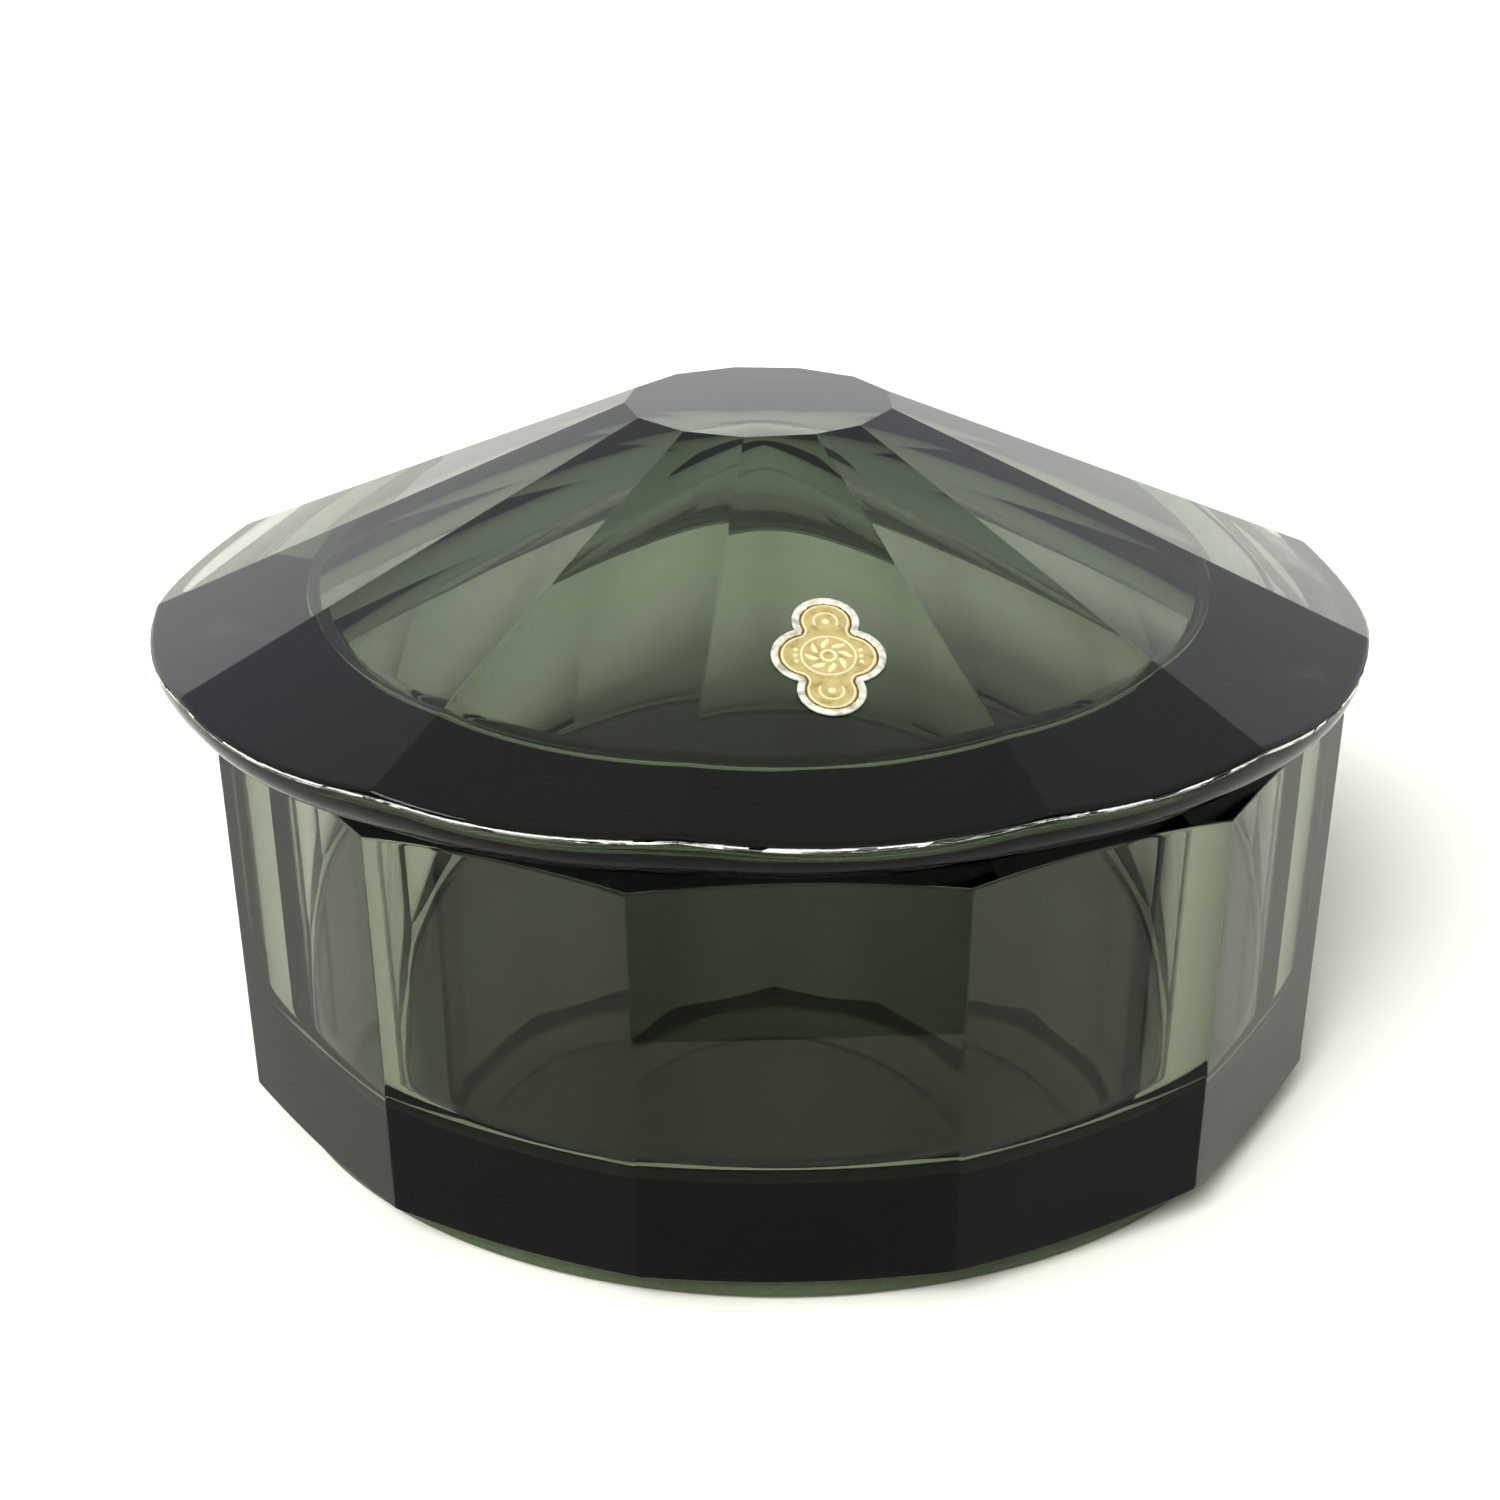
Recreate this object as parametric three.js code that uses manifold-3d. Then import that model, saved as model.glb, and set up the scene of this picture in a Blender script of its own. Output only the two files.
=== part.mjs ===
// Cut-glass powder jar: a thick round jar with flat facets ground on its wall, a low faceted
// lid that drops into its mouth, and a small embossed foil label stuck on one facet of the lid.
//
// Millimetres, +Z up. The jar stands on z = 0 with its axis on Z, and its front faces -Y.
// An azimuth is in degrees, from 0 at the front (-Y) towards +X.

import * as THREE from 'three';
import { ConvexGeometry } from 'three/addons/geometries/ConvexGeometry.js';
import { mergeVertices } from 'three/addons/utils/BufferGeometryUtils.js';
import Module from 'manifold-3d';

const wasm = await Module();
wasm.setup();

// ---------------------------------------------------------------- driving dimensions

const LATHE_SEGMENTS = 60;
const ARC_DIVISIONS = 2;
const LABEL_ARC_DIVISIONS = 12;

// How far the round blanks stand past the facets that cut them, and the facets past their edges.
const BLANK_MARGIN = 4;
const FACET_OVERRUN = 10;

// Azimuths of the upright edges between the jar's facets, cut by hand, so not quite even.
const JAR_EDGES = [-70, -39.8, -13.1, 16.2, 44.6, 74.4, 101.3, 128.3, 155.2, 182.2, 209.1, 236.1, 263];
const JAR_SHOULDER_EDGE_R = 68.4;
const JAR_SHOULDER_EDGE_Z = 50.7;
const JAR_LOWER_EDGE_R = 66.7;
const JAR_LOWER_EDGE_Z = 4.7;
const SHOULDER_SLOPE = 0.39;
const MOUTH_Z = 52.8;
const MOUTH_R = 60.2;
const FLOOR_Z = 12.2;
const FLOOR_CORNER_R = 6;
const CAVITY_BOTTOM_R = 58.8;
const FOOT_R = 62.6;
const FOOT_ROUND = 1.4;
const UNDERCUT_SLOPE = 0.45;

// Azimuths of the edges between the lid's facets.
const LID_EDGES = [-112.2, -86.6, -61.3, -32.9, -6.5, 23.1, 46.2, 76.5, 105.2, 133.7, 162.2, 190.8, 219.3];
const LID_SHIFT_X = -1.96;
const LID_SHIFT_Y = 0.66;
const LID_SEAT_GAP = 0.2;
const RIM_R = 72.5;
const RIM_ROUND = 5.4;
const RIM_EDGE_R = 71.44;
const RIM_EDGE_Z = 59.58;
const LID_TOP_R = 15.94;
const LID_TOP_Z = 83.05;
const FLANGE_R = 57.6;
const FLANGE_DEPTH = 1.4;
const LID_CAVITY_R = 49.5;
const DOME_START_Z = 52.4;
const DOME_TOP_Z = 71.14;
const DOME_POWER = 1.4;
const DOME_STEPS = 12;

const LABEL_WIDTH = 12.1;
const LABEL_HEIGHT = 17.5;
const LABEL_SIDE_R = 4;
const LABEL_END_R = 3.6;
const LABEL_THICKNESS = 0.4;
const LABEL_GAP = 0.15;
const LABEL_REACH = 48.4;
const LABEL_TILT = -5;
const LABEL_FACET = 4;

const GLASS = { color: 0x3b4a3c, roughness: 0.03, metalness: 0 };
const FOIL = { color: 0xb39a5e, roughness: 0.35, metalness: 0.9 };

// ---------------------------------------------------------------- geometry helpers

function toSolid(geometry) {
  const shape = geometry.clone();
  shape.deleteAttribute('normal');
  shape.deleteAttribute('uv');
  const merged = mergeVertices(shape, 1e-4);
  return new wasm.Manifold(new wasm.Mesh({
    numProp: 3,
    vertProperties: new Float32Array(merged.attributes.position.array),
    triVerts: new Uint32Array(merged.index.array),
  }));
}

function toGeometry(solid) {
  const mesh = solid.getMesh();
  const geometry = new THREE.BufferGeometry();
  geometry.setAttribute('position', new THREE.BufferAttribute(mesh.vertProperties, 3));
  geometry.setIndex(new THREE.BufferAttribute(mesh.triVerts, 1));
  geometry.computeVertexNormals();
  return geometry;
}

// A solid of revolution about Z. The path gives x as radius and y as height.
function turned(path) {
  const lathe = new THREE.LatheGeometry(path.getPoints(ARC_DIVISIONS), LATHE_SEGMENTS);
  lathe.rotateX(Math.PI / 2);
  return toSolid(lathe);
}

function polar(radius, azimuth, z) {
  const angle = THREE.MathUtils.degToRad(azimuth);
  return new THREE.Vector3(radius * Math.sin(angle), -radius * Math.cos(angle), z);
}

// A many-sided frustum with its corners at the given azimuths: its flat sides are the facets.
function facetedFrustum(edges, bottomRadius, bottomZ, topRadius, topZ) {
  const corners = edges.flatMap((azimuth) => [
    polar(bottomRadius, azimuth, bottomZ),
    polar(topRadius, azimuth, topZ),
  ]);
  return toSolid(new ConvexGeometry(corners));
}

function namedMesh(name, solid, look) {
  const mesh = new THREE.Mesh(toGeometry(solid), new THREE.MeshStandardMaterial(look));
  mesh.name = name;
  return mesh;
}

// ---------------------------------------------------------------- jar body

// Round blank with its cavity, wider than the facets, from the foot up over the mouth.
function jarBlank() {
  const shoulderOuterR = JAR_SHOULDER_EDGE_R + BLANK_MARGIN;
  const shoulderOuterZ = JAR_SHOULDER_EDGE_Z - SHOULDER_SLOPE * BLANK_MARGIN;
  const mouthOuterR = JAR_SHOULDER_EDGE_R - (MOUTH_Z - JAR_SHOULDER_EDGE_Z) / SHOULDER_SLOPE;
  const undercutZ = (radius) => JAR_LOWER_EDGE_Z + UNDERCUT_SLOPE * (radius - JAR_LOWER_EDGE_R);
  const path = new THREE.Path();
  path.moveTo(0, 0);
  path.lineTo(FOOT_R - FOOT_ROUND, 0);
  path.quadraticCurveTo(FOOT_R, 0, FOOT_R, FOOT_ROUND);
  path.lineTo(FOOT_R, undercutZ(FOOT_R));
  path.lineTo(shoulderOuterR, undercutZ(shoulderOuterR));
  path.lineTo(shoulderOuterR, shoulderOuterZ);
  path.lineTo(mouthOuterR, MOUTH_Z);
  path.lineTo(MOUTH_R, MOUTH_Z);
  path.lineTo(CAVITY_BOTTOM_R, FLOOR_Z + FLOOR_CORNER_R);
  const cornerX = CAVITY_BOTTOM_R - FLOOR_CORNER_R;
  path.absarc(cornerX, FLOOR_Z + FLOOR_CORNER_R, FLOOR_CORNER_R, 0, -Math.PI / 2, true);
  path.lineTo(0, FLOOR_Z);
  return turned(path);
}

function jarBody() {
  const wallSlope = (JAR_SHOULDER_EDGE_R - JAR_LOWER_EDGE_R) / (JAR_SHOULDER_EDGE_Z - JAR_LOWER_EDGE_Z);
  const facets = facetedFrustum(
    JAR_EDGES,
    JAR_LOWER_EDGE_R - wallSlope * FACET_OVERRUN,
    JAR_LOWER_EDGE_Z - FACET_OVERRUN,
    JAR_SHOULDER_EDGE_R + wallSlope * FACET_OVERRUN,
    JAR_SHOULDER_EDGE_Z + FACET_OVERRUN,
  );
  return namedMesh('jar_body', jarBlank().intersect(facets), GLASS);
}

// ---------------------------------------------------------------- lid

const UNDERSIDE_Z = MOUTH_Z + LID_SEAT_GAP;
const RIM_Z = UNDERSIDE_Z + RIM_ROUND;
const LID_SLOPE = (LID_TOP_Z - RIM_EDGE_Z) / (RIM_EDGE_R - LID_TOP_R);

// Round blank with a rounded rim, a low locating flange under it and a domed cavity.
function lidBlank() {
  const rimCentreR = RIM_R - RIM_ROUND;
  const crownZ = LID_TOP_Z + BLANK_MARGIN;
  const flangeZ = UNDERSIDE_Z - FLANGE_DEPTH;
  const path = new THREE.Path();
  path.moveTo(0, DOME_TOP_Z);
  for (let step = 1; step <= DOME_STEPS; step += 1) {
    const share = step / DOME_STEPS;
    path.lineTo(LID_CAVITY_R * share, DOME_TOP_Z - (DOME_TOP_Z - DOME_START_Z) * share ** DOME_POWER);
  }
  path.lineTo(LID_CAVITY_R, flangeZ);
  path.lineTo(FLANGE_R, flangeZ);
  path.lineTo(FLANGE_R, UNDERSIDE_Z);
  path.lineTo(rimCentreR, UNDERSIDE_Z);
  path.absarc(rimCentreR, RIM_Z, RIM_ROUND, -Math.PI / 2, 0, false);
  path.lineTo(RIM_R, crownZ);
  path.lineTo(0, crownZ);
  return turned(path);
}

function lidFacets() {
  const bottomZ = UNDERSIDE_Z - FACET_OVERRUN;
  const bottomR = RIM_EDGE_R + (RIM_EDGE_Z - bottomZ) / LID_SLOPE;
  return facetedFrustum(LID_EDGES, bottomR, bottomZ, LID_TOP_R, LID_TOP_Z);
}

function lid() {
  return namedMesh('lid', lidBlank().intersect(lidFacets()), GLASS);
}

// ---------------------------------------------------------------- foil label

// Outline of four joined circles: two side lobes, and an upper and a lower lobe.
function labelOutline() {
  const sideX = LABEL_WIDTH / 2 - LABEL_SIDE_R;
  const endY = LABEL_HEIGHT / 2 - LABEL_END_R;
  const apart = Math.hypot(sideX, endY);
  const slant = Math.atan2(endY, sideX);
  const overlap = LABEL_SIDE_R ** 2 - LABEL_END_R ** 2;
  const sideTurn = Math.PI - slant - Math.acos((apart ** 2 + overlap) / (2 * apart * LABEL_SIDE_R));
  const endTurn = slant - Math.acos((apart ** 2 - overlap) / (2 * apart * LABEL_END_R));
  const shape = new THREE.Shape();
  shape.absarc(sideX, 0, LABEL_SIDE_R, -sideTurn, sideTurn, false);
  shape.absarc(0, endY, LABEL_END_R, -endTurn, Math.PI + endTurn, false);
  shape.absarc(-sideX, 0, LABEL_SIDE_R, Math.PI - sideTurn, Math.PI + sideTurn, false);
  shape.absarc(0, -endY, LABEL_END_R, Math.PI - endTurn, 2 * Math.PI + endTurn, false);
  return shape;
}

// The label lies on the front facet of the lid, its long way up the slope.
function foilLabel() {
  const start = LID_EDGES[LABEL_FACET];
  const end = LID_EDGES[LABEL_FACET + 1];
  const middle = (start + end) / 2;
  const halfSpread = THREE.MathUtils.degToRad((end - start) / 2);
  const facetSlope = LID_SLOPE / Math.cos(halfSpread);
  const facetZ = LID_TOP_Z - LID_SLOPE * (LABEL_REACH / Math.cos(halfSpread) - LID_TOP_R);
  const geometry = new THREE.ExtrudeGeometry(labelOutline(), {
    depth: LABEL_THICKNESS,
    bevelEnabled: false,
    curveSegments: LABEL_ARC_DIVISIONS,
  });
  geometry.translate(0, 0, LABEL_GAP);
  const mesh = namedMesh('foil_label', toSolid(geometry), FOIL);
  const facetGroup = new THREE.Group();
  facetGroup.position.copy(polar(LABEL_REACH, middle, facetZ));
  facetGroup.rotation.set(Math.atan(facetSlope), 0, THREE.MathUtils.degToRad(middle), 'ZXY');
  mesh.rotation.z = THREE.MathUtils.degToRad(LABEL_TILT);
  facetGroup.add(mesh);
  return facetGroup;
}

// ---------------------------------------------------------------- assembly

const lidGroup = new THREE.Group();
lidGroup.position.set(LID_SHIFT_X, LID_SHIFT_Y, 0);
lidGroup.add(lid(), foilLabel());

const powderJar = new THREE.Group();
powderJar.add(jarBody(), lidGroup);

export default powderJar;
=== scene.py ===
"""Cut-glass powder jar: smoky grey-green glass jar and lid with ground facets, and a foil label.

The glass is built as sections through the axis, one for each azimuth, so every facet is truly
flat, every round surface is fine and every ground edge has its small polished round.
"""
import math

import bpy
from mathutils import Matrix, Vector


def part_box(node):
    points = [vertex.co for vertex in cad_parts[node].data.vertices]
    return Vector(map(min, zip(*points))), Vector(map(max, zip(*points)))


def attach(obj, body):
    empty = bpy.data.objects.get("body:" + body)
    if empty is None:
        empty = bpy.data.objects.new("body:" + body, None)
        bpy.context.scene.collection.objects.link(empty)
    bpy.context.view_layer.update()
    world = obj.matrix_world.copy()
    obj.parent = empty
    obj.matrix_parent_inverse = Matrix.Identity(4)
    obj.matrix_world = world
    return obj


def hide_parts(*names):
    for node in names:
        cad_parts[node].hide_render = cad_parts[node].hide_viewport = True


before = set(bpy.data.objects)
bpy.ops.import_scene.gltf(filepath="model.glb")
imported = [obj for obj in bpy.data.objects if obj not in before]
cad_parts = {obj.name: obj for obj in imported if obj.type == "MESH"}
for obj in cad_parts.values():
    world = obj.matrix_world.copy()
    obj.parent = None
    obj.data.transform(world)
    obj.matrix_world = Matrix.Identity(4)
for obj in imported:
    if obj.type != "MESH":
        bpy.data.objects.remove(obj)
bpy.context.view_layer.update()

MM = 0.001

# ---------------------------------------------------------------- dimensions, in metres

JAR_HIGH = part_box("jar_body")[1]
LID_LOW, LID_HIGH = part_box("lid")

# Azimuths of the edges between facets, in degrees from the front (-Y) towards +X. The visible ones
# follow the photograph, and the hidden ones are spread evenly over the rest.
JAR_EDGES = [-70, -39.8, -13.1, 16.2, 44.6, 74.4, 101.3, 128.3, 155.2, 182.2, 209.1, 236.1, 263]
LID_EDGES = [-112.2, -86.6, -61.3, -32.9, -6.5, 23.1, 46.2, 76.5, 105.2, 133.7, 162.2, 190.8, 219.3]

SHOULDER_EDGE = Vector((68.4, 50.7)) * MM
LOWER_EDGE = Vector((66.7, 4.7)) * MM
SHOULDER_SLOPE = 0.39
MOUTH_Z = JAR_HIGH.z
MOUTH_R = 60.2 * MM
MOUTH_INNER_ROUND = 0.7 * MM
MOUTH_OUTER_ROUND = 0.6 * MM
FLOOR_Z = 12.2 * MM
FLOOR_CORNER_R = 6 * MM
CAVITY_BOTTOM_R = 58.8 * MM
FOOT_R = 62.6 * MM
FOOT_ROUND = 1.4 * MM
FOOT_CORNER_ROUND = 0.3 * MM
UNDERCUT_SLOPE = 0.45
GROUND_FOOT_TOP_Z = 3 * MM

LID_CENTRE = Vector((-1.96, 0.66, 0)) * MM
LID_SEAT_GAP = 0.2 * MM
LID_TOP_Z = LID_HIGH.z
LID_TOP_R = 15.94 * MM
UNDERSIDE_Z = MOUTH_Z + LID_SEAT_GAP
RIM_R = 72.5 * MM
RIM_ROUND = 5.4 * MM
RIM_EDGE = Vector((71.44, 59.58)) * MM
RIM_EDGE_ROUND = 0.8 * MM
LID_SLOPE = (LID_TOP_Z - RIM_EDGE.y) / (RIM_EDGE.x - LID_TOP_R)
FLANGE_Z = LID_LOW.z
FLANGE_R = 57.6 * MM
FLANGE_ROOT_ROUND = 0.4 * MM
FLANGE_OUTER_ROUND = 0.8 * MM
FLANGE_INNER_ROUND = 0.3 * MM
LID_CAVITY_R = 49.5 * MM
DOME_START_Z = 52.4 * MM
DOME_TOP_Z = 71.14 * MM
DOME_POWER = 1.4
DOME_STEPS = 44

# The label lies on a facet counted from the first of LID_EDGES, tilted by an angle in degrees. Its
# reach is the distance of its middle from the lid's axis.
LABEL_WIDTH = 12.1 * MM
LABEL_HEIGHT = 17.5 * MM
LABEL_SIDE_R = 4 * MM
LABEL_END_R = 3.6 * MM
LABEL_REACH = 48.4 * MM
LABEL_TILT = -5
LABEL_FACET = 4
LABEL_UNDERSIDE = 0.04 * MM
LABEL_EDGE_HEIGHT = 0.2 * MM
LABEL_COLUMNS = 400
LABEL_RINGS = 64

EDGE_ROUND = 0.25 * MM
FACET_EDGE_SOFTNESS = 0.0004

# The most of the stretch beside a corner that its round may take, and how far beyond the round the
# next point lies. A corner that turns by less than the straight turn, in radians, isn't rounded.
ROUND_SHARE = 0.93
RIM_ROUND_SHARE = 0.95
EASE = 0.25 * MM
EASE_SHARE = 0.3
STRAIGHT_TURN = 1e-4

# Facets further from an azimuth than this, in degrees, can't bound the outline there.
FACET_REACH = 60

# Sections all round, and how far from a facet edge the finer ones are, in degrees. Even ones
# nearer to the edge than the clearance are left out.
EVEN_SECTIONS = 240
EDGE_SPREAD = [0.08, 0.18, 0.32, 0.6]
EDGE_CLEARANCE = 0.9

# ---------------------------------------------------------------- looks, lights and camera

ABSORBED = (0.0833, 0.1667, 0.0, 1)
DENSITY = 74
GLASS_IOR = 1.52

# How much the label's patina changes its colour, next to 1 for the height of its pattern, which
# paints a highlight onto the raised lines and shade into the hollows.
PATINA_SHARE = 0.7

# Colours of the surroundings at heights from 0 at the horizon to 1 overhead.
SKY_BACK = [
    (0.0, (0.84, 0.84, 0.81)),
    (0.26, (0.90, 0.92, 0.91)),
    (0.57, (0.84, 0.84, 0.90)),
    (1.0, (0.80, 0.84, 0.78)),
]
SKY_FRONT = [
    (0.0, (0.1, 0.1, 0.2)),
    (0.5, (1.02, 1.07, 0.9)),
    (1.0, (0.80, 0.84, 0.78)),
]
SKY_SEAM = 0.5
BACKDROP_COLOUR = (0.98, 0.98, 0.965, 1)

# How much of the sky lights the floor: a soft sun in front and two windows give the rest.
SKY_SHARE = 0.42

SUN_PLACE = (-1.1, -2.75, 2.4)
SUN_ANGLE = 29
SUN_POWER = 2.2

# Place, size and power of each window, which the glass mirrors.
WINDOWS = {
    "left_window": ((-1.9, -0.7, 1.45), 1.0, 8),
    "right_window": ((1.6, -1.1, 1.3), 0.4, 1.2),
}

FLOOR_COLOUR = (0.88, 0.865, 0.835)
FLOOR_REACH = 12
FLOOR_GAP = 0.3 * MM

# A dark card in front of the jar, which only the reflections on its glass show: painted shade on the
# table in front of the jar.
SHADE_CARD_COLOUR = (0.26, 0.26, 0.26)
CARD_EDGE_Y = -118 * MM
CARD_Z = 0.1 * MM

LENS = 64.8
SENSOR_WIDTH = 36
CLIP_START = 0.01
CAMERA_PLACE = Vector((-3.14, -309.55, 166.64)) * MM
CAMERA_PITCH = 22.461
CAMERA_ROLL = -0.13

# ---------------------------------------------------------------- sections


def chord_ratio(edges, azimuth):
    """Radius of the many-sided outline over the radius of its corners, with the corners eased."""
    ratios = []
    for i, start in enumerate(edges):
        end = edges[(i + 1) % len(edges)]
        if end < start:
            end += 360
        middle = (start + end) / 2
        away = (azimuth - middle + 180) % 360 - 180
        if abs(away) < FACET_REACH:
            ratios.append(math.cos(math.radians((end - start) / 2)) / math.cos(math.radians(away)))
    lowest = min(ratios)
    total = sum(math.exp((lowest - ratio) / FACET_EDGE_SOFTNESS) for ratio in ratios)
    return lowest - FACET_EDGE_SOFTNESS * math.log(total)


def rounded(corners):
    """The polyline through corners (radius, height, round, steps) with each inner corner rounded."""
    points = [Vector(corners[0][:2])]
    for before, corner, after in zip(corners, corners[1:], corners[2:]):
        centre = Vector(corner[:2])
        back = Vector(before[:2]) - centre
        ahead = Vector(after[:2]) - centre
        turn = math.pi - back.angle(ahead)
        if corner[2] == 0 or turn < STRAIGHT_TURN:
            points.append(centre)
            continue
        reach = corner[2] * math.tan(turn / 2)
        reach = min(reach, ROUND_SHARE * back.length, ROUND_SHARE * ahead.length)
        start = centre + back.normalized() * reach
        end = centre + ahead.normalized() * reach
        points.append(start + back.normalized() * min(EASE, EASE_SHARE * (back.length - reach)))
        points.extend(arc(centre, start, end, reach, turn, corner[3]))
        points.append(end + ahead.normalized() * min(EASE, EASE_SHARE * (ahead.length - reach)))
    points.append(Vector(corners[-1][:2]))
    return points


def arc(corner, start, end, reach, turn, steps):
    """Points on the round of a corner that turns by an angle, which starts a reach before it."""
    bulge = corner - (start + end) / 2
    half = turn / 2
    radius = reach / math.tan(half)
    middle = corner - bulge.normalized() * radius / math.cos(half)
    first = start - middle
    side = 1 if first.cross(end - middle) > 0 else -1
    angles = [side * turn * step / steps for step in range(steps + 1)]
    return [middle + Matrix.Rotation(angle, 2) @ first for angle in angles]


def jar_section(azimuth):
    """The jar's section from the middle of its foot, up outside and down inside, to its floor."""
    ratio = chord_ratio(JAR_EDGES, azimuth)
    taper = (SHOULDER_EDGE.x - LOWER_EDGE.x) / (SHOULDER_EDGE.y - LOWER_EDGE.y)
    under = UNDERCUT_SLOPE * taper
    over = SHOULDER_SLOPE * taper
    lower_r = ratio * LOWER_EDGE.x * (1 - under) / (1 - ratio * under)
    upper_r = ratio * SHOULDER_EDGE.x * (1 + over) / (1 + ratio * over)
    lower_z = LOWER_EDGE.y + UNDERCUT_SLOPE * (lower_r - LOWER_EDGE.x)
    upper_z = SHOULDER_EDGE.y + SHOULDER_SLOPE * (SHOULDER_EDGE.x - upper_r)
    foot_z = LOWER_EDGE.y + UNDERCUT_SLOPE * (FOOT_R - LOWER_EDGE.x)
    mouth_outer_r = SHOULDER_EDGE.x - (MOUTH_Z - SHOULDER_EDGE.y) / SHOULDER_SLOPE
    return rounded([
        (0, 0, 0, 0),
        (FOOT_R, 0, FOOT_ROUND, 8),
        (FOOT_R, foot_z, FOOT_CORNER_ROUND, 3),
        (lower_r, lower_z, EDGE_ROUND, 4),
        (upper_r, upper_z, EDGE_ROUND, 4),
        (mouth_outer_r, MOUTH_Z, MOUTH_OUTER_ROUND, 4),
        (MOUTH_R, MOUTH_Z, MOUTH_INNER_ROUND, 6),
        (CAVITY_BOTTOM_R, FLOOR_Z, FLOOR_CORNER_R, 16),
        (0, FLOOR_Z, 0, 0),
    ])


def lid_section(azimuth):
    """The lid's section from its top, down outside and round the rim, to the top of its dome."""
    ratio = chord_ratio(LID_EDGES, azimuth)
    apex_z = LID_TOP_Z + LID_SLOPE * LID_TOP_R
    rim_z = apex_z - LID_SLOPE * RIM_R / ratio
    rim_round = min(RIM_ROUND, RIM_ROUND_SHARE * (rim_z - UNDERSIDE_Z))
    section = rounded([
        (0, LID_TOP_Z, 0, 0),
        (LID_TOP_R * ratio, LID_TOP_Z, EDGE_ROUND, 4),
        (RIM_R, rim_z, RIM_EDGE_ROUND, 6),
        (RIM_R, UNDERSIDE_Z, rim_round, 16),
        (FLANGE_R, UNDERSIDE_Z, FLANGE_ROOT_ROUND, 4),
        (FLANGE_R, FLANGE_Z, FLANGE_OUTER_ROUND, 5),
        (LID_CAVITY_R, FLANGE_Z, FLANGE_INNER_ROUND, 3),
        (LID_CAVITY_R, DOME_START_Z, 0, 0),
    ])
    for step in range(1, DOME_STEPS + 1):
        share = 1 - step / DOME_STEPS
        drop = (DOME_TOP_Z - DOME_START_Z) * share ** DOME_POWER
        section.append(Vector((LID_CAVITY_R * share, DOME_TOP_Z - drop)))
    return section


def azimuths_for(edges):
    """Even azimuths, with finer ones on both sides of each facet edge."""
    even = [i * 360 / EVEN_SECTIONS for i in range(EVEN_SECTIONS)]
    near = [edge % 360 for edge in edges]
    kept = [a for a in even if all(abs((a - e + 180) % 360 - 180) > EDGE_CLEARANCE for e in near)]
    fine = [(e + side * away) % 360 for e in near for away in EDGE_SPREAD for side in (-1, 1)]
    return sorted(kept + near + fine)


def glass_mesh(name, section, azimuths, centre):
    """A closed mesh whose sections through the axis are given for each azimuth."""
    rows = [section(azimuth) for azimuth in azimuths]
    inner = len(rows[0]) - 2
    vertices = [(centre.x, centre.y, rows[0][0].y), (centre.x, centre.y, rows[0][-1].y)]
    for azimuth, points in zip(azimuths, rows):
        angle = math.radians(azimuth)
        for point in points[1:-1]:
            x = centre.x + point.x * math.sin(angle)
            y = centre.y - point.x * math.cos(angle)
            vertices.append((x, y, point.y))
    faces = []
    count = len(azimuths)
    for column in range(count):
        here = 2 + column * inner
        there = 2 + (column + 1) % count * inner
        faces.append((0, here, there))
        faces.append((1, there + inner - 1, here + inner - 1))
        for row in range(inner - 1):
            faces.append((here + row, here + row + 1, there + row + 1, there + row))
    return closed_mesh(name, vertices, faces)


def closed_mesh(name, vertices, faces):
    """A smooth-shaded mesh with its faces pointing out."""
    mesh = bpy.data.meshes.new(name)
    mesh.from_pydata(vertices, [], faces)
    mesh.update()
    if signed_volume(mesh) < 0:
        mesh.flip_normals()
    mesh.polygons.foreach_set("use_smooth", [True] * len(mesh.polygons))
    return mesh


def signed_volume(mesh):
    """The mesh's volume, which is negative when its faces point in."""
    total = 0
    for polygon in mesh.polygons:
        corners = [mesh.vertices[i].co for i in polygon.vertices]
        for second, third in zip(corners[1:], corners[2:]):
            total += corners[0].dot(second.cross(third))
    return total / 6


# ---------------------------------------------------------------- label


def label_lobes():
    """Centres and radii of the circles whose joined outline is the label's."""
    side = LABEL_WIDTH / 2 - LABEL_SIDE_R
    end = LABEL_HEIGHT / 2 - LABEL_END_R
    return [
        (Vector((side, 0)), LABEL_SIDE_R),
        (Vector((-side, 0)), LABEL_SIDE_R),
        (Vector((0, end)), LABEL_END_R),
        (Vector((0, -end)), LABEL_END_R),
    ]


def label_notches():
    """The inner corners of the label's outline, where a side circle meets an end circle."""
    side, end = label_lobes()[0], label_lobes()[2]
    between = end[0] - side[0]
    apart = between.length
    along = (apart ** 2 + side[1] ** 2 - end[1] ** 2) / (2 * apart)
    beside = math.sqrt(side[1] ** 2 - along ** 2)
    outward = Vector((-between.y, between.x)).normalized()
    corner = side[0] + between.normalized() * along
    notch = max((corner + outward * beside, corner - outward * beside), key=lambda p: p.length)
    return [Vector((notch.x * right, notch.y * up)) for right in (1, -1) for up in (1, -1)]


def label_depth(point, lobes, notches):
    """How far a point lies inside the label's outline."""
    depths = [(point - notch).length for notch in notches]
    for number, (centre, radius) in enumerate(lobes):
        away = point - centre
        foot = centre + away.normalized() * radius if away.length > 0 else centre
        inside_others = any(
            (foot - other).length < reach
            for place, (other, reach) in enumerate(lobes) if place != number
        )
        if not inside_others:
            depths.append(abs(radius - away.length))
    return min(depths)


def label_reach(angle):
    """Distance from the label's middle to its outline."""
    ahead = Vector((math.cos(angle), math.sin(angle)))
    reaches = []
    for centre, radius in label_lobes():
        along = ahead.dot(centre)
        beside = abs(ahead.cross(centre))
        if beside < radius:
            reaches.append(along + math.sqrt(radius ** 2 - beside ** 2))
    return max(reaches)


def ridge(distance, width):
    """A rounded ridge of the given width, 1 along its middle line and 0 at its sides."""
    return max(0.0, 1 - (2 * distance / width) ** 2)


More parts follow.
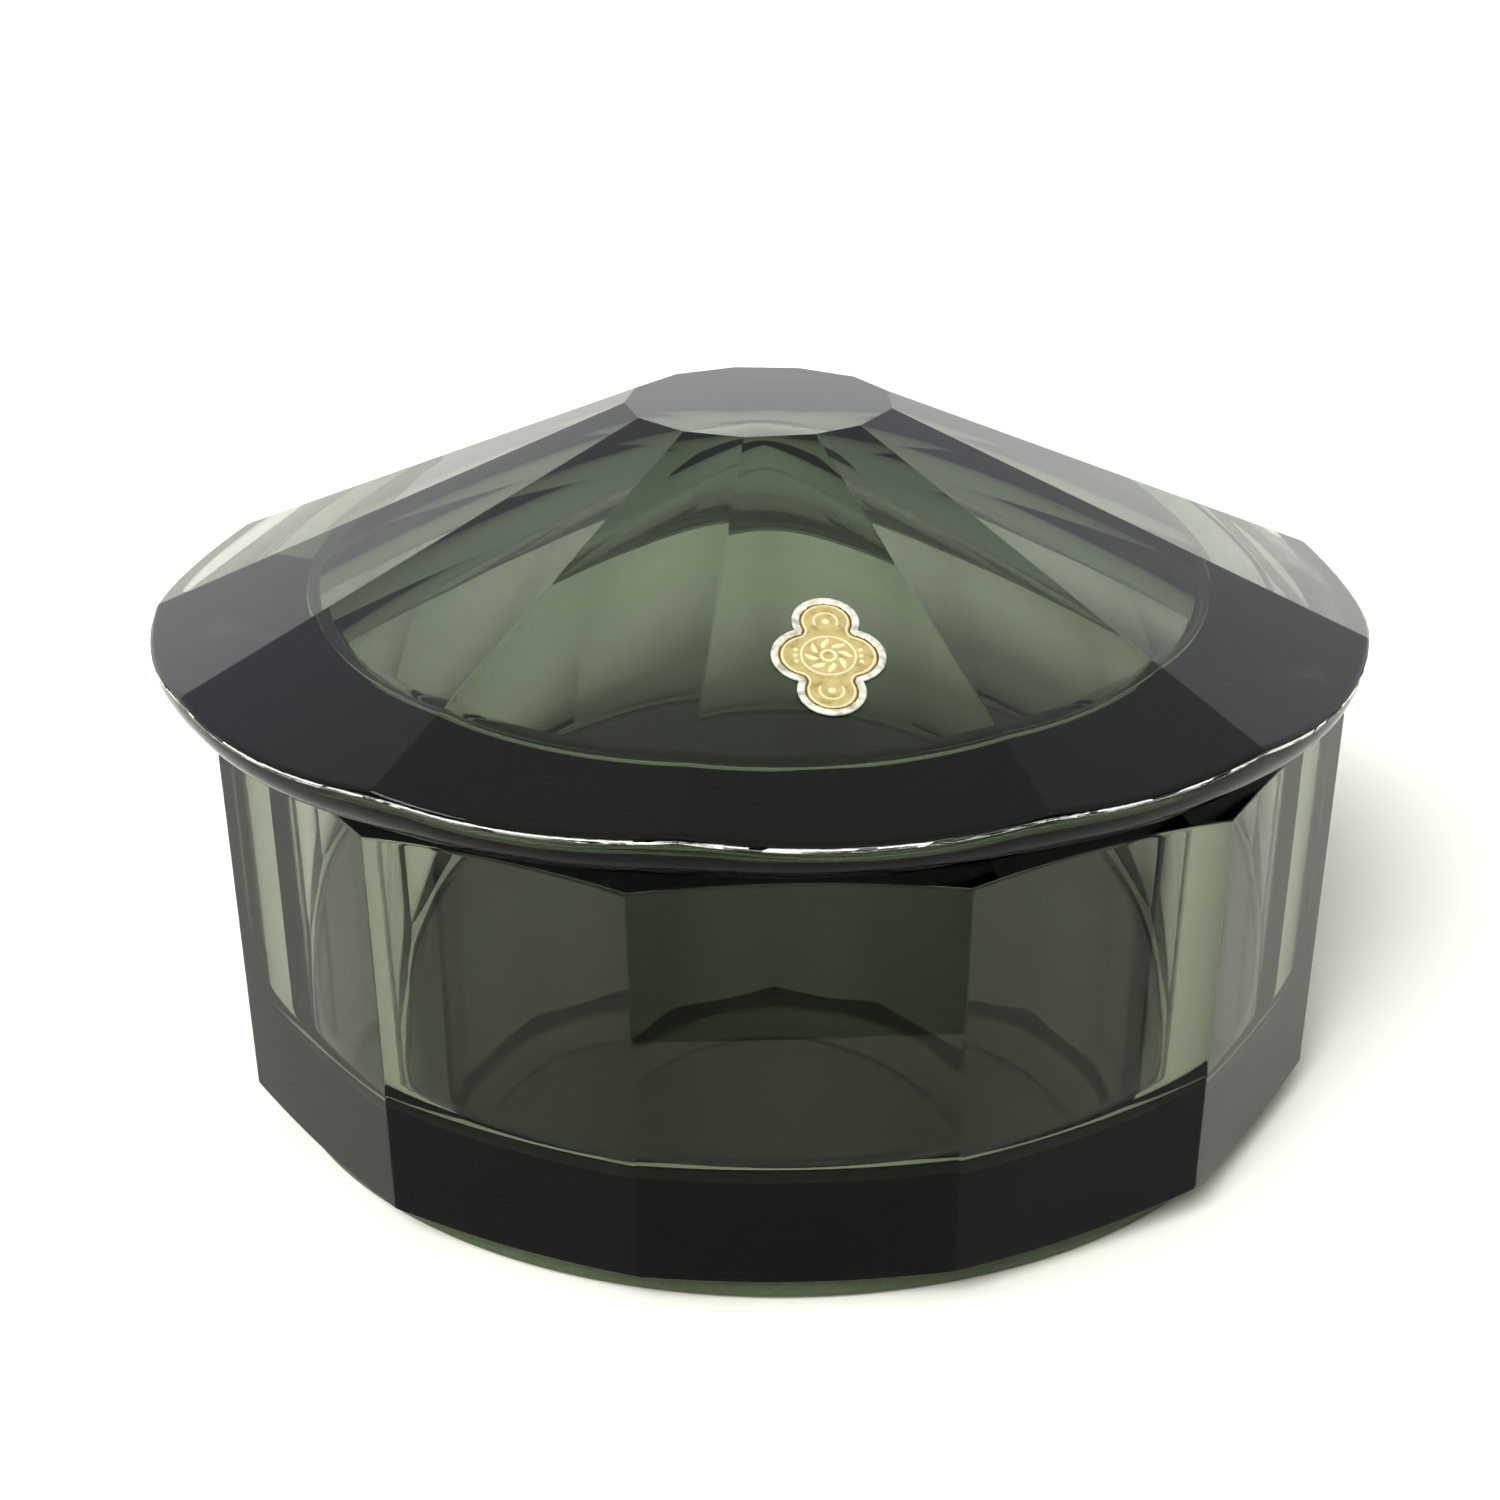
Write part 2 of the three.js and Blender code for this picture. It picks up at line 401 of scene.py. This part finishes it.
# The label's pattern. Lengths are in millimetres, heights are shares of MOTIF_HEIGHT, and SWIRL is
# in radians to the millimetre.
RING_R, RING_WIDTH = 0.75, 0.42
PETALS = 8
PETAL_START, PETAL_LENGTH, PETAL_WIDTH = 1.15, 1.35, 0.95
PETAL_HEIGHT, PETAL_FULLNESS, PETAL_TIP = 0.85, 0.7, 0.01
SWIRL, SWIRL_START = 0.35, 1.2
OUTER_RING_R = 2.85
CURL_R, CURL_START = 1.25, -0.6
LINE_HEIGHT, FINE_WIDTH = 0.8, 0.3
BOSS_WIDTH = 1.0
BEAD_OUT, BEAD_SPACING, BEAD_WIDTH, BEAD_HEIGHT = 1.35, 0.85, 0.62, 0.9


def motif(point):
    """Raised pattern: a ring with petals round it, curls in the end lobes and beads at the sides."""
    x, y = point / MM
    radius = math.hypot(x, y)
    heights = [ridge(radius - RING_R, RING_WIDTH), petal(radius, math.atan2(y, x))]
    heights.append(LINE_HEIGHT * ridge(radius - OUTER_RING_R, FINE_WIDTH))
    end = (LABEL_HEIGHT / 2 - LABEL_END_R) / MM
    side = (LABEL_WIDTH / 2 - LABEL_SIDE_R) / MM
    for up in (1, -1):
        lobe = math.hypot(x, y - up * end)
        if (y - up * end) * up > CURL_START:
            heights.append(LINE_HEIGHT * ridge(lobe - CURL_R, FINE_WIDTH))
        heights.append(ridge(lobe, BOSS_WIDTH))
    for bead in (-1, 0, 1):
        away = math.hypot(abs(x) - side - BEAD_OUT, y - bead * BEAD_SPACING)
        heights.append(BEAD_HEIGHT * ridge(away, BEAD_WIDTH))
    return max(heights)


def petal(radius, turn):
    """Height of the swirling petals at a radius and an angle about the label's middle."""
    if not PETAL_START < radius < PETAL_START + PETAL_LENGTH:
        return 0.0
    swirl = ((turn + SWIRL * (radius - SWIRL_START)) * PETALS / (2 * math.pi)) % 1 - 0.5
    across = swirl * 2 * math.pi / PETALS * radius
    swell = math.sin(math.pi * (radius - PETAL_START) / PETAL_LENGTH) ** PETAL_FULLNESS
    return PETAL_HEIGHT * ridge(across, max(PETAL_WIDTH * swell, PETAL_TIP))


# The border, the groove and the line inside it, and where the pattern starts, also in millimetres.
# GROOVE_SHADE is how much painted shade the groove gets in the foil's colour.
BORDER_WIDTH, BORDER_CROWN = 0.82, 0.2
GROOVE_IN, GROOVE_WIDTH, GROOVE_DEPTH, GROOVE_SHADE = 0.9, 0.24, 0.06, 0.6
LINE_IN, LINE_WIDTH = 1.22, 0.26
MOTIF_IN, MOTIF_HEIGHT = 1.4, 0.14


def label_relief(point, lobes, notches):
    """Height above the facet, how far it is raised or sunk for the foil's painted highlight and
    painted shade, and how silver it is.
    """
    depth = label_depth(point, lobes, notches) / MM
    if depth < BORDER_WIDTH:
        share = depth / BORDER_WIDTH
        crown = BORDER_CROWN * math.sqrt(max(0.0, 1 - (2 * share - 1) ** 2))
        return (LABEL_EDGE_HEIGHT / MM + crown) * MM, 1.0, 1.0
    groove = ridge(depth - GROOVE_IN, GROOVE_WIDTH)
    line = ridge(depth - LINE_IN, LINE_WIDTH)
    raised = max(line * LINE_HEIGHT, motif(point) if depth > MOTIF_IN else 0.0)
    height = LABEL_EDGE_HEIGHT / MM - GROOVE_DEPTH * groove + MOTIF_HEIGHT * raised
    return height * MM, raised - GROOVE_SHADE * groove, 0.0


def label_mesh(name):
    """The embossed label, flat on z = 0 with its long way along y."""
    lobes = label_lobes()
    notches = label_notches()
    middle = label_relief(Vector((0, 0)), lobes, notches)
    vertices = [Vector((0, 0, LABEL_UNDERSIDE)), Vector((0, 0, middle[0]))]
    marks = [(0.0, 0.0), middle[1:]]
    for column in range(LABEL_COLUMNS):
        angle = 2 * math.pi * column / LABEL_COLUMNS
        outline = Vector((math.cos(angle), math.sin(angle))) * label_reach(angle)
        for ring in range(1, LABEL_RINGS + 1):
            point = outline * ring / LABEL_RINGS
            height, raised, silver = label_relief(point, lobes, notches)
            vertices.append(Vector((*point, height)))
            marks.append((raised, silver))
        vertices.append(Vector((*outline, LABEL_UNDERSIDE)))
        marks.append((0.0, 1.0))
    faces = []
    stride = LABEL_RINGS + 1
    for column in range(LABEL_COLUMNS):
        here = 2 + column * stride
        there = 2 + (column + 1) % LABEL_COLUMNS * stride
        faces.append((1, here, there))
        faces.append((0, there + LABEL_RINGS, here + LABEL_RINGS))
        for ring in range(LABEL_RINGS):
            faces.append((here + ring, here + ring + 1, there + ring + 1, there + ring))
    mesh = closed_mesh(name, vertices, faces)
    # The raised mark drives the foil's painted highlight on raised lines and painted shade in the
    # groove and hollows.
    for mark, label in enumerate(("raised", "silver")):
        attribute = mesh.attributes.new(label, "FLOAT", "POINT")
        attribute.data.foreach_set("value", [values[mark] for values in marks])
    return mesh


def label_place():
    """Where the label lies: on the front facet of the lid, its long way up the slope."""
    start = LID_EDGES[LABEL_FACET]
    end = LID_EDGES[LABEL_FACET + 1]
    middle = math.radians((start + end) / 2)
    half = math.radians((end - start) / 2)
    slope = LID_SLOPE / math.cos(half)
    z = LID_TOP_Z - LID_SLOPE * (LABEL_REACH / math.cos(half) - LID_TOP_R)
    spot = Vector((LABEL_REACH * math.sin(middle), -LABEL_REACH * math.cos(middle), z)) + LID_CENTRE
    turn = Matrix.Rotation(middle, 4, "Z") @ Matrix.Rotation(math.atan(slope), 4, "X")
    return Matrix.Translation(spot) @ turn @ Matrix.Rotation(math.radians(LABEL_TILT), 4, "Z")


# ---------------------------------------------------------------- shader nodes


def new_material(name):
    """A material, with its nodes, its links and its main shader."""
    material = bpy.data.materials.new(name)
    material.use_nodes = True
    nodes = material.node_tree.nodes
    return material, nodes, material.node_tree.links, nodes["Principled BSDF"]


def noise(nodes, links, scale, detail):
    """Noise that is fixed to the object, with the given number of features to a metre."""
    place = nodes.new("ShaderNodeTexCoord")
    texture = nodes.new("ShaderNodeTexNoise")
    texture.inputs["Scale"].default_value = scale
    texture.inputs["Detail"].default_value = detail
    links.new(place.outputs["Object"], texture.inputs["Vector"])
    return texture.outputs["Fac"]


def spread(nodes, links, value, low, high, start=0.0, end=1.0):
    """The value, from start to end, spread evenly from low to high."""
    node = nodes.new("ShaderNodeMapRange")
    node.inputs["From Min"].default_value = start
    node.inputs["From Max"].default_value = end
    node.inputs["To Min"].default_value = low
    node.inputs["To Max"].default_value = high
    links.new(value, node.inputs["Value"])
    return node.outputs["Result"]


def colour_ramp(nodes, links, value, stops):
    """The colour at a value, from stops of a position and a colour."""
    node = nodes.new("ShaderNodeValToRGB")
    elements = node.color_ramp.elements
    while len(elements) < len(stops):
        elements.new(0.5)
    for element, (position, colour) in zip(elements, stops):
        element.position = position
        element.color = (*colour, 1)
    links.new(value, node.inputs["Fac"])
    return node.outputs["Color"]


def colour_mix(nodes, links, factor, first):
    """A mix that gives the first colour where the factor is 0, and its colour B where it is 1."""
    node = nodes.new("ShaderNodeMix")
    node.data_type = "RGBA"
    links.new(factor, node.inputs["Factor"])
    links.new(first, node.inputs["A"])
    return node


def add_bump(nodes, links, principled, height, strength, distance):
    """Relief too fine for the mesh, which only the shading shows."""
    bump = nodes.new("ShaderNodeBump")
    bump.inputs["Strength"].default_value = strength
    bump.inputs["Distance"].default_value = distance
    links.new(height, bump.inputs["Height"])
    links.new(bump.outputs["Normal"], principled.inputs["Normal"])


def add_absorption(nodes, links):
    absorption = nodes.new("ShaderNodeVolumeAbsorption")
    absorption.inputs["Color"].default_value = ABSORBED
    absorption.inputs["Density"].default_value = DENSITY
    links.new(absorption.outputs["Volume"], nodes["Material Output"].inputs["Volume"])


# ---------------------------------------------------------------- materials


def glass_material(name):
    """Smoky grey-green glass: clear at the surface, with its colour from the depth of glass.

    It has the faint waves of hand polishing, and a haze of fine wear that comes and goes.
    """
    material, nodes, links, principled = new_material(name)
    principled.inputs["Base Color"].default_value = (1, 1, 1, 1)
    principled.inputs["Transmission Weight"].default_value = 1
    principled.inputs["IOR"].default_value = GLASS_IOR
    waves = noise(nodes, links, scale=70, detail=1)
    add_bump(nodes, links, principled, waves, strength=0.5, distance=0.05 * MM)
    haze = noise(nodes, links, scale=160, detail=8)
    wear = spread(nodes, links, haze, low=0, high=0.02, start=0.55, end=0.8)
    links.new(wear, principled.inputs["Roughness"])
    add_absorption(nodes, links)
    return material


def ground_glass_material():
    """The jar's foot: ground, not polished, so it scatters light and shows pale green."""
    material, nodes, links, principled = new_material("ground_foot")
    principled.inputs["Transmission Weight"].default_value = 0.45
    principled.inputs["IOR"].default_value = GLASS_IOR
    grain = noise(nodes, links, scale=1500, detail=4)
    tone = colour_ramp(nodes, links, grain, [(0, (0.12, 0.16, 0.10)), (1, (0.24, 0.28, 0.19))])
    links.new(tone, principled.inputs["Base Color"])
    rough = spread(nodes, links, grain, low=0.45, high=0.7)
    links.new(rough, principled.inputs["Roughness"])
    add_bump(nodes, links, principled, grain, strength=0.4, distance=0.03 * MM)
    add_absorption(nodes, links)
    return material


def foil_material():
    """Worn gold foil with a silver border, with a painted highlight on the raised lines and painted
    shade in the hollows.
    """
    material, nodes, links, principled = new_material("label_foil")
    raised = nodes.new("ShaderNodeAttribute")
    raised.attribute_name = "raised"
    silver = nodes.new("ShaderNodeAttribute")
    silver.attribute_name = "silver"
    patina = noise(nodes, links, scale=900, detail=6)
    # Random patina, plus the relief height that paints a highlight onto the raised lines and shade
    # into the hollows.
    patina_and_relief_shade = nodes.new("ShaderNodeMath")
    patina_and_relief_shade.operation = "MULTIPLY_ADD"
    patina_and_relief_shade.inputs[1].default_value = PATINA_SHARE
    links.new(patina, patina_and_relief_shade.inputs[0])
    links.new(raised.outputs["Fac"], patina_and_relief_shade.inputs[2])
    # The gold runs from painted shade in the hollows to a painted highlight on the raised lines, with
    # the patina mixed in.
    gold = colour_ramp(nodes, links, patina_and_relief_shade.outputs[0], [
        (0, (0.15, 0.10, 0.045)),
        (0.34, (0.46, 0.38, 0.21)),
        (1, (0.66, 0.60, 0.42)),
    ])
    tarnish = colour_ramp(nodes, links, patina, [
        (0.35, (0.38, 0.36, 0.31)),
        (0.6, (0.66, 0.65, 0.60)),
    ])
    foil = colour_mix(nodes, links, silver.outputs["Fac"], gold)
    links.new(tarnish, foil.inputs["B"])
    links.new(foil.outputs["Result"], principled.inputs["Base Color"])
    principled.inputs["Metallic"].default_value = 0.45
    rough = spread(nodes, links, patina, low=0.28, high=0.5)
    links.new(rough, principled.inputs["Roughness"])
    add_bump(nodes, links, principled, patina, strength=0.25, distance=0.04 * MM)
    return material


def matt_material(name, colour):
    material, _, _, principled = new_material(name)
    principled.inputs["Base Color"].default_value = (*colour, 1)
    principled.inputs["Roughness"].default_value = 0.9
    principled.inputs["Specular IOR Level"].default_value = 0.1
    return material


# ---------------------------------------------------------------- studio


def studio():
    scene = bpy.context.scene
    scene.view_settings.view_transform = "Standard"
    scene.view_settings.look = "Very High Contrast"
    scene.cycles.max_bounces = 32
    scene.cycles.transmission_bounces = 28
    scene.cycles.glossy_bounces = 12
    scene.cycles.diffuse_bounces = 3
    scene.cycles.transparent_max_bounces = 16
    add_sky(scene)
    add_floor()
    add_shade_card()
    add_lights()


def add_floor():
    low = (-FLOOR_REACH, -FLOOR_REACH)
    high = (FLOOR_REACH, FLOOR_REACH)
    floor = stage_sheet("floor", low, high, -FLOOR_GAP)
    floor.data.materials.append(matt_material("pale_floor", FLOOR_COLOUR))


def add_shade_card():
    # Painted shade: a dark sheet on the table in front, seen only in the glass's reflections.
    low = (-FLOOR_REACH, -FLOOR_REACH)
    high = (FLOOR_REACH, CARD_EDGE_Y)
    card = stage_sheet("painted_shade_card", low, high, CARD_Z)
    card.data.materials.append(matt_material("painted_shade_card", SHADE_CARD_COLOUR))
    card.visible_camera = False
    card.visible_diffuse = False
    card.visible_shadow = False
    card.visible_transmission = False


def stage_sheet(name, low, high, z):
    """A flat sheet of the stage between two corners, facing up."""
    mesh = bpy.data.meshes.new(name)
    corners = [(low[0], low[1], z), (high[0], low[1], z), (high[0], high[1], z), (low[0], high[1], z)]
    mesh.from_pydata(corners, [], [(0, 1, 2, 3)])
    sheet = add_object(name, mesh)
    return sheet


def add_object(name, data):
    thing = bpy.data.objects.new(name, data)
    bpy.context.scene.collection.objects.link(thing)
    return thing


def add_sky(scene):
    """Surroundings that are bright behind the jar and dark low down in front of it."""
    world = bpy.data.worlds.new("studio")
    scene.world = world
    world.use_nodes = True
    nodes = world.node_tree.nodes
    links = world.node_tree.links
    background = nodes["Background"]
    place = nodes.new("ShaderNodeTexCoord")
    split = nodes.new("ShaderNodeSeparateXYZ")
    links.new(place.outputs["Generated"], split.inputs[0])
    back = colour_ramp(nodes, links, split.outputs["Z"], SKY_BACK)
    front = colour_ramp(nodes, links, split.outputs["Z"], SKY_FRONT)
    side = nodes.new("ShaderNodeMapRange")
    side.interpolation_type = "SMOOTHSTEP"
    side.inputs["From Min"].default_value = -SKY_SEAM
    side.inputs["From Max"].default_value = SKY_SEAM
    links.new(split.outputs["Y"], side.inputs["Value"])
    around = colour_mix(nodes, links, side.outputs["Result"], front)
    links.new(back, around.inputs["B"])
    path = nodes.new("ShaderNodeLightPath")
    seen = colour_mix(nodes, links, path.outputs["Is Camera Ray"], around.outputs["Result"])
    seen.inputs["B"].default_value = BACKDROP_COLOUR
    links.new(seen.outputs["Result"], background.inputs["Color"])
    strength = spread(nodes, links, path.outputs["Is Diffuse Ray"], low=1, high=SKY_SHARE)
    links.new(strength, background.inputs["Strength"])


def add_lights():
    sun = bpy.data.lights.new("sun", "SUN")
    sun.angle = math.radians(SUN_ANGLE)
    sun.energy = SUN_POWER
    add_lamp(sun, SUN_PLACE, False)
    for name, (place, size, power) in WINDOWS.items():
        window = bpy.data.lights.new(name, "AREA")
        window.shape = "DISK"
        window.size = size
        window.energy = power
        add_lamp(window, place, True)


def add_lamp(light, place, mirrored):
    """A lamp aimed at the jar, which isn't seen through the glass, and is mirrored in it if asked."""
    lamp = add_object(light.name, light)
    lamp.location = place
    lamp.rotation_euler = (-lamp.location).to_track_quat("-Z", "Y").to_euler()
    lamp.visible_glossy = mirrored
    lamp.visible_transmission = False


def camera():
    data = bpy.data.cameras.new("camera")
    data.lens = LENS
    data.sensor_width = SENSOR_WIDTH
    data.clip_start = CLIP_START
    view = add_object("camera", data)
    pitch = math.radians(CAMERA_PITCH)
    roll = math.radians(CAMERA_ROLL)
    turn = Matrix.Rotation(math.pi / 2 - pitch, 4, "X") @ Matrix.Rotation(roll, 4, "Z")
    view.matrix_world = Matrix.Translation(CAMERA_PLACE) @ turn
    bpy.context.scene.camera = view


# ---------------------------------------------------------------- pieces


def add_jar():
    mesh = glass_mesh("jar_glass", jar_section, azimuths_for(JAR_EDGES), Vector((0, 0, 0)))
    jar = add_object("jar_glass", mesh)
    jar.data.materials.append(glass_material("jar_smoky_glass"))
    jar.data.materials.append(ground_glass_material())
    for polygon in jar.data.polygons:
        outward = math.hypot(polygon.center.x, polygon.center.y)
        if outward > FOOT_R - FOOT_ROUND and polygon.center.z < GROUND_FOOT_TOP_Z:
            polygon.material_index = 1
    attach(jar, "jar")
    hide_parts("jar_body")


def add_lid():
    mesh = glass_mesh("lid_glass", lid_section, azimuths_for(LID_EDGES), LID_CENTRE)
    lid = add_object("lid_glass", mesh)
    lid.data.materials.append(glass_material("lid_smoky_glass"))
    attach(lid, "lid")
    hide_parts("lid")


def add_label():
    mesh = label_mesh("embossed_label")
    mesh.transform(label_place())
    label = add_object("embossed_label", mesh)
    label.data.materials.append(foil_material())
    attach(label, "lid")
    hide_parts("foil_label")


camera()
studio()
add_jar()
add_lid()
add_label()
